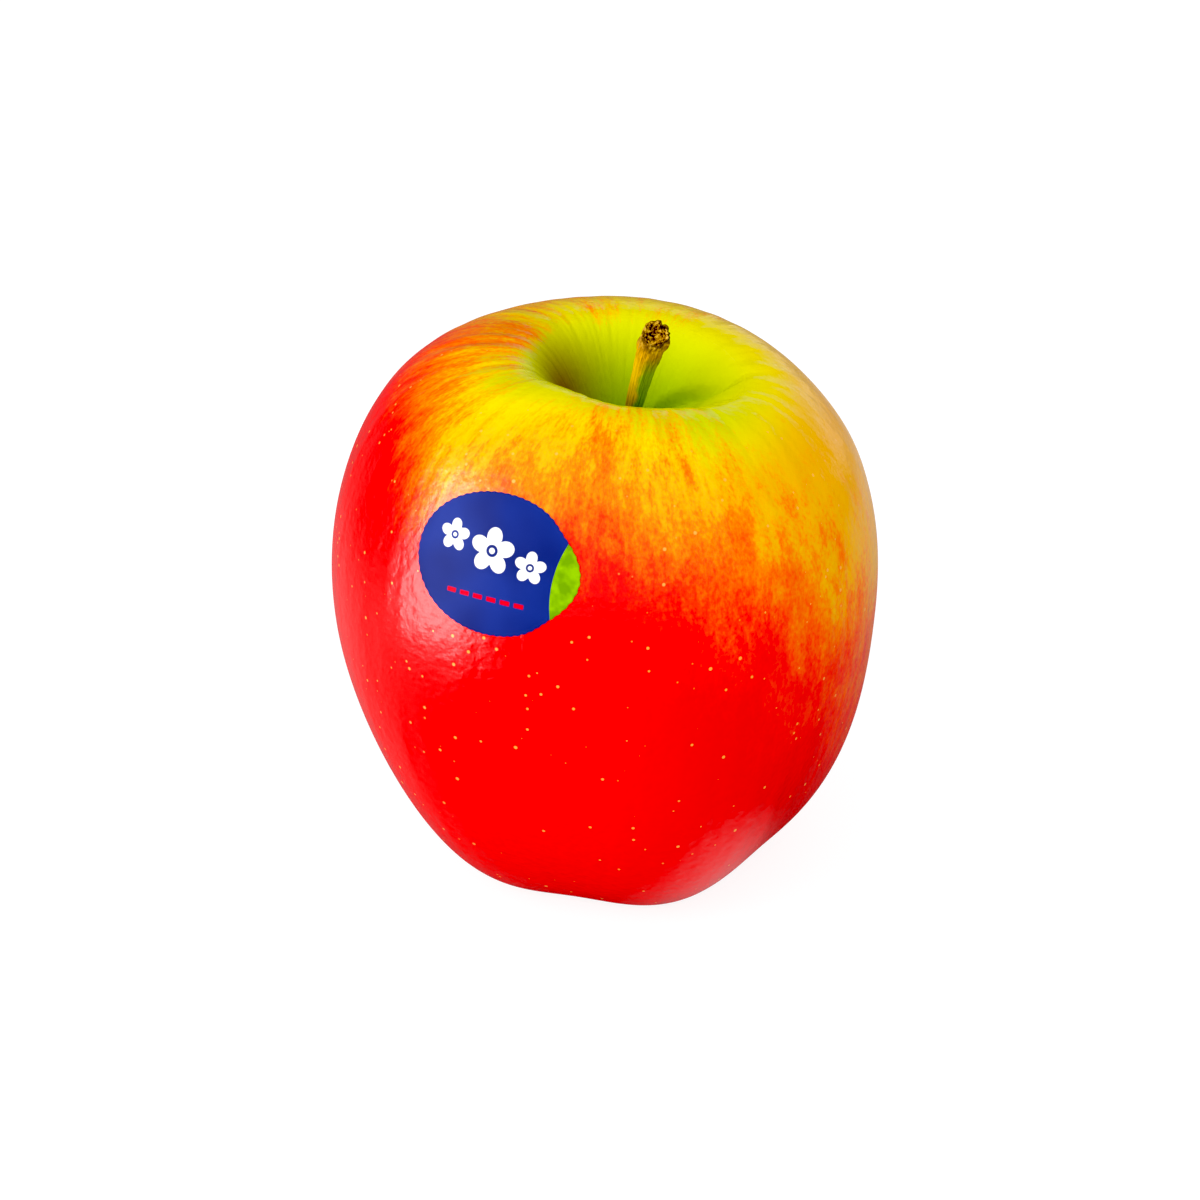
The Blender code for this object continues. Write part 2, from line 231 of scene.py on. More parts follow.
def skinPoint(turn, station):
    # the half section turned round the axis, its radius times 1 + swell x cos(5 x turn) towards the base.
    # Bells raise or lower the crest, fold, swell and open the cavity's wall; sums of cosines make soft
    # lumps and fine ribs; cavity and foot are shifted sideways, and the base is trimmed flat.
    f = fruitForm
    radius, height = halfSection(station)
    level = height / f["crestHeight"]
    low, high = 1.0 - smooth(level, 0.0, 0.6), smooth(level, 0.75, 1.0)
    offAxis = smooth(radius, 0.06 * f["footRadius"], 0.56 * f["footRadius"])
    lobe = np.cos(f["lobes"] * (turn - f["lobeTurn"]))
    grown = radius * (1.0 + f["lobeSwell"] * lobe * (low + f["lobeSwellAbove"]))
    z = height + f["lobeDrop"] * 0.5 * (1.0 - lobe) * low ** 3 * offAxis
    for rise, centre, width in (f["furrow"], f["brow"], f["saddle"]):
        z = z + rise * hill(turn, centre, width) * high * offAxis
    z = z + f["crestTip"] * np.cos(turn) * high * radius / f["cheekRadius"]

    lumpy = f["lumps"] * window(station, *f["lumpSpan"])
    grown = grown + lumpy * ripple(turn, station, turnWaves=4, alongWaves=0.7, count=10, seed=3)
    ribbed = f["crestRibs"] * window(station, *f["ribSpan"]) * (1.0 - 0.5 * smooth(station, 1.10, 1.40))
    z = z + ribbed * ripple(turn, station, turnWaves=44, alongWaves=0.35, count=40, seed=5)

    down, outward, footTurn, rimTurn, width = f["fold"]
    centre = footTurn + (rimTurn - footTurn) * smooth(station, *f["foldTurnSpan"])
    fold = window(station, *f["foldSpan"]) * hill(turn, centre, width)
    z = z - down * fold
    grown = grown + outward * fold
    reach, centre, width = f["wallSwell"]
    grown = grown - reach * window(station, *f["swellSpan"]) * hill(turn, centre, width)
    reach, centre, width = f["openSide"]
    grown = grown + reach * window(station, *f["openSpan"]) * hill(turn, centre, width)

    nearAxis = 1.0 - smooth(radius, 0.33 * f["cheekRadius"], 0.83 * f["cheekRadius"])
    inCavity = np.where(level > 0.5, nearAxis, 0.0)
    atFoot = 1.0 - smooth(level, 0.1, 0.5)
    x = f["cavityShift"][0] * inCavity + f["footShift"][0] * atFoot + grown * np.cos(turn)
    y = f["cavityShift"][1] * inCavity + f["footShift"][1] * atFoot + grown * np.sin(turn)
    onFloor = np.maximum(z - f["restTrim"], 0.0)
    return np.stack((x, y, onFloor), axis=-1)


def alongSection(station):
    # length in mm along the half section, from the cavity floor
    steps = np.linspace(0.0, 4.0, 801)
    radius, height = halfSection(steps)
    length = np.concatenate(([0.0], np.cumsum(np.hypot(np.diff(radius), np.diff(height)))))
    return np.interp(station, steps, length)


fruitColour = {
    # height in mm where full red ends, at turns in degrees round the fruit
    "blushEdge": [
        (-180, 66), (-165, 66.4), (-150, 61.6), (-135, 56.5), (-110, 58), (-90, 57.8), (-75, 52), (-60, 44),
        (-45, 34.5), (-30, 23), (-10, 13), (20, 11), (60, 30), (100, 50), (130, 61), (160, 66)],
    # height in mm over which red turns to gold above that edge
    "blushSpan": [
        (-180, 6.5), (-165, 6.5), (-150, 9.5), (-135, 10.5), (-110, 13), (-90, 14), (-75, 18), (-60, 24),
        (-45, 30), (-30, 33), (-10, 35), (20, 35), (60, 36), (100, 20), (130, 11), (160, 9)],
    # one deeper streak below the front lip: turn, half width, lowest and highest height in mm, lean, depth
    "streakMark": (math.radians(-64.0), 0.55, 65.8, 70.6, 0.012, 0.42),
    # the deepest red that the underside reaches
    "baseBlush": -0.35,
    # blush and ground colour round the calyx, and the stations over which they come in
    "calyxBlush": 0.85,
    "calyxGround": 0.62,
    "calyxSpan": (3.50, 3.92),
    # how much faster the red fades inside the cavity, and a side where it is slower: factor, middle, width
    "insideFade": 7.0,
    "slowFade": (5.0, math.pi, math.radians(42.0)),
    # mm along the half section over which the ground colour goes from green to gold
    "greenLength": 40.0,
    # where the crest stays greener: turn, width, and how far the ground colour moves
    "greenSides": [
        (math.radians(-55.0), math.radians(32.0), 0.17), (math.radians(-146.0), math.radians(22.0), 0.09)],
    # russet on the cavity's rim, and on one wall of the cavity a brown that is partly russet and partly
    # painted shade: turn, width, strength, and its stations
    "russetAndShade": [
        (math.radians(172.0), math.radians(58.0), 0.95, ((0.04, 0.25), (0.60, 0.95))),
        (math.radians(148.0), math.radians(26.0), 0.24, ((0.60, 0.90), (1.05, 1.30)))],
    "grainRadius": 30.0,
    "grainStretch": 0.22,
    # three sizes of pigment: width in mm, squeeze along the fruit, reach in the blush, detail
    "pigmentSizes": [(6.5, 2.8, 0.20, 2.0), (1.5, 1.5, 0.18, 3.0), (0.45, 3.0, 0.16, 2.0)],
    "peelWidth": 1.1,
    "peelDepth": 0.11,
    "swellWidth": 3.2,
    "swellDepth": 0.30,
    "lenticelSpacing": 1.9,
    "lenticelRadius": 0.26,
    # roughness and specular level inside the cavity, where nothing rubs the wax, and outside it
    "waxRoughness": (0.55, 0.27),
    "waxSpecular": (0.12, 0.5),
    "polishSpan": (0.70, 0.95),
}


def roundTurn(turn, pairs):
    # reads (degrees, value) pairs round the closed turn, halfway between straight and eased steps
    angles = np.array([p[0] for p in pairs] + [pairs[0][0] + 360.0])
    values = np.array([p[1] for p in pairs] + [pairs[0][1]])
    degrees = (np.degrees(turn) - angles[0]) % 360.0 + angles[0]
    index = np.clip(np.searchsorted(angles, degrees, side="right") - 1, 0, len(pairs) - 1)
    t = (degrees - angles[index]) / (angles[index + 1] - angles[index])
    eased = 0.5 * (t + smooth(t, 0.0, 1.0))
    return values[index] + (values[index + 1] - values[index]) * eased


def waxedSkin():
    # waxed apple skin: thin clear wax over coloured cells, so colour is deep and highlights are clean
    c = fruitColour
    material, tree, shader = newMaterial("waxedAppleSkin")
    grain = addNode(tree, "ShaderNodeAttribute", attribute_name="grain").outputs["Vector"]
    blush, crestward, polish, russetAndShade = (
        addNode(tree, "ShaderNodeAttribute", attribute_name=key).outputs["Fac"]
        for key in ("blush", "crestward", "polish", "russetAndShade"))
    place = addNode(tree, "ShaderNodeTexCoord").outputs["Object"]

    # broad patches, streaks from stem to base, and the grain of single cells, added to the blush
    ripeness = blush
    for width, squeeze, reach, detail in c["pigmentSizes"]:
        spread = addNode(tree, "ShaderNodeMapping", {"Vector": grain, "Scale": (1.0, 1.0, squeeze)})
        noise = addNode(tree, "ShaderNodeTexNoise", {
            "Vector": spread.outputs["Vector"], "Scale": 1.0 / width, "Detail": detail, "Roughness": 0.6})
        share = addNode(tree, "ShaderNodeMapRange", {
            "Value": noise.outputs["Fac"], "From Min": 0.3, "From Max": 0.7,
            "To Min": -reach, "To Max": reach})
        ripeness = addNode(tree, "ShaderNodeMath", {
            0: ripeness, 1: share.outputs["Result"]}, operation="ADD").outputs["Value"]
    ripenessShare = addNode(tree, "ShaderNodeMapRange", {
        "Value": ripeness, "From Min": -0.5, "From Max": 1.5, "To Min": 0.0, "To Max": 1.0})

    blushRamp = addNode(tree, "ShaderNodeValToRGB", {"Fac": ripenessShare.outputs["Result"]})
    addStops(blushRamp, [
        (0.00, "#f20004"), (0.20, "#f80002"), (0.27, "#fb1200"), (0.38, "#fc3600"), (0.50, "#fb6000"),
        (0.64, "#f98600"), (0.78, "#f5a600")])
    # ground colour from the cavity floor to past the crest: the dark green at the floor is the fruit's green,
    # deepened as painted shade at the bottom of the cavity
    groundRamp = addNode(tree, "ShaderNodeValToRGB", {"Fac": crestward})
    addStops(groundRamp, [
        (0.00, "#70a800"), (0.16, "#8ebc00"), (0.36, "#b2ca00"), (0.52, "#d0d400"), (0.66, "#e8d200"),
        (0.80, "#f0bc00"), (1.00, "#f2ac00")])
    toGround = addNode(tree, "ShaderNodeMapRange", {
        "Value": ripenessShare.outputs["Result"], "From Min": 0.64, "From Max": 0.90})
    pigment = addNode(tree, "ShaderNodeMix", {
        mixFactor: toGround.outputs["Result"], mixFrom: blushRamp.outputs["Color"],
        mixTo: groundRamp.outputs["Color"]}, data_type="RGBA")

    # brownish russet on part of the cavity's rim, and on one wall of the cavity a brown that is partly russet
    # and partly painted shade where that wall lies in shadow
    russetAndShadeMixed = addNode(tree, "ShaderNodeMix", {
        mixFactor: russetAndShade, mixFrom: pigment.outputs[mixResult],
        mixTo: hexColour("#784c00")}, data_type="RGBA")

    # lenticels: pale breathing pores, a point in each cell of a 3-D scatter that the skin cuts through
    pores = addNode(tree, "ShaderNodeTexVoronoi", {
        "Vector": place, "Scale": 1.0 / (c["lenticelSpacing"] * mm), "Randomness": 1.0}, feature="F1")
    cellDraw = addNode(tree, "ShaderNodeSeparateColor", {"Color": pores.outputs["Color"]})
    poreRadius = addNode(tree, "ShaderNodeMath", {
        0: cellDraw.outputs["Red"], 1: c["lenticelRadius"] / c["lenticelSpacing"]}, operation="MULTIPLY")
    poreEdge = addNode(tree, "ShaderNodeMath", {
        0: poreRadius.outputs["Value"], 1: pores.outputs["Distance"]}, operation="SUBTRACT")
    poreMask = addNode(tree, "ShaderNodeMapRange", {
        "Value": poreEdge.outputs["Value"], "From Min": -0.015, "From Max": 0.03,
        "To Min": 0.0, "To Max": 0.85})
    pastCrest = addNode(tree, "ShaderNodeMapRange", {"Value": crestward, "From Min": 0.58, "From Max": 0.85})
    poreShare = addNode(tree, "ShaderNodeMath", {
        0: poreMask.outputs["Result"], 1: pastCrest.outputs["Result"]}, operation="MULTIPLY")
    skinColour = addNode(tree, "ShaderNodeMix", {
        mixFactor: poreShare.outputs["Value"], mixFrom: russetAndShadeMixed.outputs[mixResult],
        mixTo: hexColour("#fab450")}, data_type="RGBA")
    tree.links.new(skinColour.outputs[mixResult], shader.inputs["Base Color"])

    # the wax follows the cells below it, so the gloss has a fine orange-peel grain on broader swells
    peel = addNode(tree, "ShaderNodeTexNoise", {
        "Vector": place, "Scale": 1.0 / (c["peelWidth"] * mm), "Detail": 2.0})
    peelBump = addNode(tree, "ShaderNodeBump", {
        "Height": peel.outputs["Fac"], "Strength": 1.0, "Distance": c["peelDepth"] * mm})
    swells = addNode(tree, "ShaderNodeTexNoise", {
        "Vector": grain, "Scale": 1.0 / c["swellWidth"], "Detail": 1.0})
    swellBump = addNode(tree, "ShaderNodeBump", {
        "Height": swells.outputs["Fac"], "Strength": 1.0, "Distance": c["swellDepth"] * mm,
        "Normal": peelBump.outputs["Normal"]})
    tree.links.new(swellBump.outputs["Normal"], shader.inputs["Normal"])
    for socket, (inside, outside) in (
            ("Roughness", c["waxRoughness"]), ("Specular IOR Level", c["waxSpecular"])):
        polished = addNode(tree, "ShaderNodeMapRange", {"Value": polish, "To Min": inside, "To Max": outside})
        tree.links.new(polished.outputs["Result"], shader.inputs[socket])
    shader.inputs["IOR"].default_value = 1.46
    return material


def makeFruit():
    # the skin over turn and station, with rows closer together where the half section bends more, and
    # the values on it that its pigment and wax read
    c = fruitColour
    station = np.concatenate((
        np.linspace(0.0, 1.0, 60, endpoint=False), np.linspace(1.0, 2.0, 84, endpoint=False),
        np.linspace(2.0, 3.0, 90, endpoint=False), np.linspace(3.0, 4.0, 42)))
    turn = np.linspace(0.0, math.tau, 324, endpoint=False)
    turn, station = np.meshgrid(turn, station)
    points = skinPoint(turn, station)
    shift = placeOfCore(points)
    points = points + shift

    radius, height = halfSection(station)
    along = alongSection(station)
    top = fruitForm["crestHeight"]
    slowFade, centre, width = c["slowFade"]
    insideFade = c["insideFade"] + (slowFade - c["insideFade"]) * hill(turn, centre, width)
    unrolled = np.where(station < 1.0, top + insideFade * (top - height), height)
    blush = (unrolled - roundTurn(turn, c["blushEdge"])) / roundTurn(turn, c["blushSpan"])
    crestward = np.clip(along / c["greenLength"], 0.0, 1.0)
    inBasin = smooth(station, *c["calyxSpan"])
    blush = np.where(station > 3.0, np.maximum(blush, c["baseBlush"]), blush)
    blush = blush + (c["calyxBlush"] - blush) * inBasin
    markTurn, markHalf, markLow, markHigh, lean, depth = c["streakMark"]
    mark = hill(turn, markTurn - lean * (height - markLow), markHalf / np.maximum(radius, 1.0))
    mark = mark * window(height, (markLow, markLow + 2.0), (markHigh - 2.0, markHigh))
    blush = blush - depth * np.where(station > 1.0, mark, 0.0)
    outward = smooth(crestward, 0.5, 0.7)
    for centre, width, greener in c["greenSides"]:
        crestward = crestward - greener * hill(turn, centre, width) * outward
    crestward = crestward + (c["calyxGround"] - crestward) * inBasin
    grain = np.stack((
        c["grainRadius"] * np.cos(turn), c["grainRadius"] * np.sin(turn), c["grainStretch"] * along), axis=-1)
    # russet on the rim, and russet mixed with painted shade on the cavity's shaded wall
    russetAndShade = np.zeros_like(station)
    for centre, width, strength, span in c["russetAndShade"]:
        russetAndShade = russetAndShade + strength * hill(turn, centre, width) * window(station, *span)
    skin = closedGrid("appleSkin", points, {
        "blush": blush, "crestward": crestward, "grain": grain, "russetAndShade": russetAndShade,
        "polish": smooth(station, *c["polishSpan"])}, waxedSkin())
    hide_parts("fruit")
    print("fruit: skin", len(skin.data.polygons), "faces")
    return shift


def placeOfCore(points):
    # how far the fruit's own axis moves to centre the skin's box where the CAD fruit's box is
    low, high = (np.array(corner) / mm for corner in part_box("fruit"))
    middle = 0.5 * (points.min(axis=(0, 1)) + points.max(axis=(0, 1)))
    return np.array([0.5 * (low[0] + high[0]) - middle[0], 0.5 * (low[1] + high[1]) - middle[1], 0.0])


stemForm = {
    "rise": 22.9,
    "swing": (4.4, -3.5),
    "bend": 0.45,
    "root": 1.6,
    "radius": 0.96,
    "taper": 0.50,
    "taperSpan": (0.25, 0.85),
    "footFlare": 0.55,
    "flareReach": 0.10,
    "knobRadius": 1.74,
    "knobStart": 0.74,
    "knobEnd": 0.92,
    "knobFace": (0.10, -0.60, 0.80),
    "hollowDepth": 0.9,
    "tornRidges": 0.13,
    "raggedRim": 0.05,
    "crumbs": 0.06,
    "ribs": 0.05,
    "bark": 0.035,
    # one flake of bark stands off the rim
    "flakeTurn": math.radians(-12.0),
    "flakeWidth": 0.20,
    "flakeReach": 0.50,
    "greenTurn": math.radians(-30.0),
    # where the fibre pattern is read: on a circle of this radius, rising by this much up the whole stalk
    "fibreRadius": 8.0,
    "fibreClimb": 3.2,
}


def stemMiddle(t):
    # from the cavity floor at t = 0 to the tip at 1: straight up, and sideways by swing times a mix of
    # t and t squared
    f = stemForm
    floor = skinPoint(np.zeros(1), np.zeros(1))[0]
    swing = (1.0 - f["bend"]) * t + f["bend"] * t * np.abs(t)
    x = floor[0] + f["swing"][0] * swing
    y = floor[1] + f["swing"][1] * swing
    return np.stack((x, y, floor[2] + f["rise"] * t), axis=-1)


def makeStem():
    # rings round the middle line: the shaft's radius grows by taper, then to the knob's, with ribs and bark
    # as sums of cosines; the rim lies in a tilted plane, and the broken end sinks into a bowl
    f = stemForm
    start = -f["root"] / f["rise"]
    turn = np.linspace(0.0, math.tau, 120, endpoint=False)
    turn2, t = np.meshgrid(turn, np.linspace(start, 1.0, 200))
    middle = stemMiddle(t)
    ahead = stemMiddle(t + 0.01) - middle
    ahead /= np.linalg.norm(ahead, axis=-1, keepdims=True)
    right = np.cross(np.array([0.0, 1.0, 0.0]), ahead)
    right /= np.linalg.norm(right, axis=-1, keepdims=True)
    back = np.cross(ahead, right)

    knob = smooth(t, f["knobStart"], f["knobEnd"])
    ribs = f["ribs"] * (0.6 + 0.9 * knob) * ripple(turn2, t, turnWaves=14, alongWaves=1.2, count=18, seed=11)
    bark = f["bark"] * (0.6 + knob) * ripple(turn2, t, turnWaves=22, alongWaves=14.0, count=60, seed=12)
    flare = f["footFlare"] * f["radius"] * np.exp(-((t / f["flareReach"]) ** 2))
    shaft = f["radius"] + f["taper"] * smooth(t, *f["taperSpan"])
    radius = shaft + flare + (f["knobRadius"] - shaft) * knob + ribs + bark
    flake = hill(turn2, f["flakeTurn"], f["flakeWidth"])
    flake = flake * smooth(t, 0.90, 0.97) * (1.0 - 0.6 * smooth(t, 0.97, 1.0))
    radius = radius + f["flakeReach"] * flake
    root = smooth(t, start, 0.3 * start)
    radius = radius * (0.35 + 0.65 * root)

    # the rim follows a tilted plane: a point's lift is minus its distance along the plane's slope
    face = np.array(f["knobFace"]) / np.linalg.norm(f["knobFace"])
    tipAhead, tipRight, tipBack = ahead[-1, 0], right[-1, 0], back[-1, 0]
    slope = -np.array([face @ tipRight, face @ tipBack]) / (face @ tipAhead)
    ragged = f["raggedRim"] * ripple(turn, 0.0, turnWaves=9, alongWaves=1.0, count=12, seed=13)
    near = smooth(t, 0.80, 1.0)
    lift = radius * (slope[0] * np.cos(turn2) + slope[1] * np.sin(turn2)) * near + ragged * near
    outward = right * np.cos(turn2)[..., None] + back * np.sin(turn2)[..., None]
    wall = middle + outward * radius[..., None] + ahead * lift[..., None]

    # inside the rim: a ledge of bark, then a bowl that sinks by hollowDepth, with torn ridges in it
    inward = np.linspace(1.0, 0.0, 34)[1:]
    turn3, share = np.meshgrid(turn, inward)
    tip = middle[-1, 0]
    rim = wall[-1] - tip
    sink = -f["hollowDepth"] * smooth(1.0 - share, 0.08, 0.55)
    torn = f["tornRidges"] * smooth(1.0 - share, 0.05, 0.4) * smooth(share, 0.0, 0.35)
    torn = torn * ripple(turn3, share, turnWaves=7, alongWaves=2.0, count=16, seed=14)
    bowl = tip + rim[None] * share[..., None] + face * (sink + torn)[..., None]
    crumbs = f["crumbs"] * (1.0 - share) * share
    bowl = bowl + outward[-1][None] * crumbs[..., None]

    points = np.concatenate((wall, bowl))
    points[0] = points[0].mean(axis=0)
    points = points + coreShift
    turnAll = np.concatenate((turn2, turn3))
    climb = np.concatenate((t, np.ones_like(share)))
    # broken bark: some below the rim, all of it in the bowl, and a dark ring between the two
    hollow = np.concatenate((0.55 * smooth(t, 0.90, 1.0), smooth(1.0 - share, -0.10, 0.20)))
    # a darker ring at the rim where the bark ends, darkest on the flake's side
    darkRing = np.concatenate((0.8 * smooth(t, 0.975, 1.0), np.exp(-(((share - 0.96) / 0.09) ** 2))))
    darkRing = darkRing * (0.55 + 0.45 * np.cos(turnAll - f["flakeTurn"]))
    greenSide = 0.5 + 0.5 * np.cos(turnAll - f["greenTurn"])
    fibreX, fibreY = f["fibreRadius"] * np.cos(turnAll), f["fibreRadius"] * np.sin(turnAll)
    fibre = np.stack((fibreX, fibreY, f["fibreClimb"] * climb), axis=-1)
    stem = closedGrid("appleStem", points, {
        "climb": climb, "hollow": hollow, "darkRing": darkRing, "greenSide": greenSide, "fibre": fibre},
        driedStem())
    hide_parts("stem")
    print("stem:", len(stem.data.polygons), "faces")


def driedStem():
    # dried apple stalk: woody fibre under thin bark, tan where it is dry and olive where it is still green
    material, tree, shader = newMaterial("driedStalk")
    climb, hollow, darkRing, greenSide = (
        addNode(tree, "ShaderNodeAttribute", attribute_name=key).outputs["Fac"]
        for key in ("climb", "hollow", "darkRing", "greenSide"))
    fibre = addNode(tree, "ShaderNodeAttribute", attribute_name="fibre").outputs["Vector"]
    place = addNode(tree, "ShaderNodeTexCoord").outputs["Object"]

    blotchWidth, pulpWidth = 2.6, 0.7
    blotch = addNode(tree, "ShaderNodeTexNoise", {
        "Vector": place, "Scale": 1.0 / (blotchWidth * mm), "Detail": 3.0})
    greenEdge = addNode(tree, "ShaderNodeMath", {
        0: blotch.outputs["Fac"], 1: 0.55, 2: greenSide}, operation="MULTIPLY_ADD")
    greenMask = addNode(tree, "ShaderNodeMapRange", {
        "Value": greenEdge.outputs["Value"], "From Min": 0.80, "From Max": 0.98})
    dryRamp = addNode(tree, "ShaderNodeValToRGB", {"Fac": climb})
    addStops(dryRamp, [
        (0.0, "#4a2c06"), (0.38, "#644008"), (0.54, "#b89418"), (0.70, "#ecc028"), (0.90, "#dca418"),
        (1.0, "#a87410")])
    greenRamp = addNode(tree, "ShaderNodeValToRGB", {"Fac": climb})
    addStops(greenRamp, [
        (0.0, "#4c3c06"), (0.38, "#545006"), (0.56, "#7c9c10"), (0.76, "#90a814"), (0.90, "#a8800c")])
    bark = addNode(tree, "ShaderNodeMix", {
        mixFactor: greenMask.outputs["Result"], mixFrom: dryRamp.outputs["Color"],
        mixTo: greenRamp.outputs["Color"]}, data_type="RGBA")

    # long fibres: a noise stretched up the stalk, dark in the grooves and golden on the ridges
    strands = addNode(tree, "ShaderNodeTexNoise", {
        "Vector": fibre, "Scale": 1.1, "Detail": 4.0, "Roughness": 0.7})
    strandShade = addNode(tree, "ShaderNodeMapRange", {
        "Value": strands.outputs["Fac"], "From Min": 0.30, "From Max": 0.68, "To Min": 0.45, "To Max": 1.45})
    fibreColour = addNode(tree, "ShaderNodeVectorMath", {
        0: bark.outputs[mixResult], 1: strandShade.outputs["Result"]}, operation="MULTIPLY")

    # torn pulp in the broken end, with a dark ring where the bark ends
    pulp = addNode(tree, "ShaderNodeTexNoise", {
        "Vector": place, "Scale": 1.0 / (pulpWidth * mm), "Detail": 3.0, "Roughness": 0.7})
    pulpRamp = addNode(tree, "ShaderNodeValToRGB", {"Fac": pulp.outputs["Fac"]})
    addStops(pulpRamp, [(0.40, "#1c0c02"), (0.46, "#4e2c06"), (0.52, "#bc8618"), (0.60, "#f8cc4c")])
    colour = addNode(tree, "ShaderNodeMix", {
        mixFactor: hollow, mixFrom: fibreColour.outputs["Vector"],
        mixTo: pulpRamp.outputs["Color"]}, data_type="RGBA")
    edged = addNode(tree, "ShaderNodeMix", {
        mixFactor: darkRing, mixFrom: colour.outputs[mixResult], mixTo: hexColour("#2a1404")}, data_type="RGBA")
    tree.links.new(edged.outputs[mixResult], shader.inputs["Base Color"])
    relief = addNode(tree, "ShaderNodeBump", {
        "Height": strands.outputs["Fac"], "Strength": 0.8, "Distance": 0.15 * mm})
    tree.links.new(relief.outputs["Normal"], shader.inputs["Normal"])
    shader.inputs["Roughness"].default_value = 0.62
    shader.inputs["Specular IOR Level"].default_value = 0.3
    return material


stickerForm = {
    "width": 21.9,
    "height": 18.0,
    # the green end reaches out, and the oval dips beside it: mm, turn of the dips, width
    "tabBulge": 0.35,
    "tabBulgeWidth": 0.25,
    "shoulderDip": 0.38,
    "shoulderTurn": 0.60,
    "shoulderWidth": 0.26,
    "turn": math.radians(-115.1),
    "station": 1.66,
    "tilt": math.radians(2.0),
    "thickness": 0.08,
    "lift": 0.03,
    "edgeTeeth": 60,
    "toothDepth": 0.06,
    "edgeCurl": 0.10,
    # the green end starts at a shallow arc: place, bend and middle of it
    "tabStart": 7.95,
    "tabBend": 0.030,
    "tabMiddle": -1.2,
    # x, y and radius of each blossom
    "blossoms": [(-5.9, 2.5, 2.1), (-0.4, 1.7, 3.0), (4.9, 0.7, 2.1)],
    "petals": 5,
    # left end, right end, height and half width of the broken line
    "rule": (-6.0, 5.2, -4.4, 0.30),
    "dashes": 6,
    "inkEdge": 0.035,
}


def skinUnder(x, y):
    # the turn and station whose skin point lies at x, y of the sticker's own plane: each round adds what
    # is still missing, times the inverse of the skin's slopes at the seat
    f = stickerForm
    turn, station = np.full(x.shape, f["turn"]), np.full(x.shape, f["station"])
    step = 1e-3
    seatTurn, seatStation = np.array([f["turn"]]), np.array([f["station"]])
    here = skinPoint(seatTurn, seatStation)[0]
    byTurn = (skinPoint(seatTurn + step, seatStation)[0] - here) / step
    byStation = (skinPoint(seatTurn, seatStation + step)[0] - here) / step
    normal = np.cross(byStation, byTurn)
    normal = normal / np.linalg.norm(normal)
    level = np.cross([0.0, 0.0, 1.0], normal)
    level = level / np.linalg.norm(level)
    upward = np.cross(normal, level)
    across = level * math.cos(f["tilt"]) - upward * math.sin(f["tilt"])
    along = upward * math.cos(f["tilt"]) + level * math.sin(f["tilt"])
    slopes = np.array([[byTurn @ across, byStation @ across], [byTurn @ along, byStation @ along]])
    undo = np.linalg.inv(slopes)
    for _ in range(14):
        place = skinPoint(turn, station) - here
        missX, missY = x - place @ across, y - place @ along
        turn = turn + undo[0, 0] * missX + undo[0, 1] * missY
        station = station + undo[1, 0] * missX + undo[1, 1] * missY
    return turn, station


def skinNormal(turn, station):
    # cross product of the two directions in which the skin runs
    step = 1e-3
    byTurn = skinPoint(turn + step, station) - skinPoint(turn - step, station)
    byStation = skinPoint(turn, station + step) - skinPoint(turn, station - step)
    normal = np.cross(byStation, byTurn)
    return normal / np.linalg.norm(normal, axis=-1, keepdims=True)


def stickerPrint(x, y):
    # signed distances in mm, above 0 inside: green tab end, white blossoms, red broken rule
    f = stickerForm
    tab = x - (f["tabStart"] + f["tabBend"] * (y - f["tabMiddle"]) ** 2)
    white = np.full(x.shape, -9.0)
    for centreX, centreY, size in f["blossoms"]:
        away, around = np.hypot(x - centreX, y - centreY), np.arctan2(x - centreX, y - centreY)
        petal = size * (0.52 + 0.48 * np.abs(np.cos(0.5 * f["petals"] * around)) ** 0.8)
        ring = np.minimum(petal - away, away - 0.26 * size)
        white = np.maximum(white, np.maximum(ring, 0.13 * size - away))
    left, right, level, half = f["rule"]
    pitch = (right - left) / f["dashes"]
    within = np.abs((x - left) % pitch - 0.5 * pitch)
    red = np.minimum(half - np.abs(y - level), 0.34 * pitch - within)
    red = np.minimum(red, np.minimum(x - left, right - x))
    return tab, white, red


def makeSticker():
    # an oval grid laid on the skin: out over the top, round the fine-toothed edge and back underneath
    f = stickerForm
    turn = np.linspace(0.0, math.tau, 360, endpoint=False)
    topRows, underRows = 64, 16
    out = np.concatenate((np.linspace(0.0, 1.0, topRows), np.linspace(1.0, 0.0, underRows)))
    topSide = np.concatenate((np.ones(topRows), np.zeros(underRows)))
    turn2, share = np.meshgrid(turn, out)
    above = np.broadcast_to(topSide[:, None], share.shape)
    teeth = 1.0 + f["toothDepth"] / (0.5 * f["width"]) * np.cos(f["edgeTeeth"] * turn2)
    longHalf, shortHalf = 0.5 * f["width"], 0.5 * f["height"]
    oval = longHalf * shortHalf / np.hypot(shortHalf * np.cos(turn2), longHalf * np.sin(turn2))
    reach = oval + f["tabBulge"] * hill(turn2, 0.0, f["tabBulgeWidth"])
    for shoulder in (f["shoulderTurn"], -f["shoulderTurn"]):
        reach = reach - f["shoulderDip"] * hill(turn2, shoulder, f["shoulderWidth"])
    x = share * reach * teeth * np.cos(turn2)
    y = share * reach * teeth * np.sin(turn2)
    skinTurn, station = skinUnder(x, y)
    loose = ripple(turn2, 0.0, turnWaves=5, alongWaves=1.0, count=7, seed=21)
    curl = f["edgeCurl"] * share ** 6 * np.clip(0.25 + 0.6 * loose, 0.0, 1.3)
    height = f["lift"] + curl + above * f["thickness"]
    points = skinPoint(skinTurn, station) + skinNormal(skinTurn, station) * height[..., None]
    tab, white, red = stickerPrint(x, y)
    flat = np.stack((x, y, np.zeros_like(x)), axis=-1)
    sticker = closedGrid("fruitSticker", points + coreShift, {
        "tab": tab, "white": white, "red": red, "flat": flat}, printedFilm())
    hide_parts("fruit_sticker")
    print("sticker:", len(sticker.data.polygons), "faces")


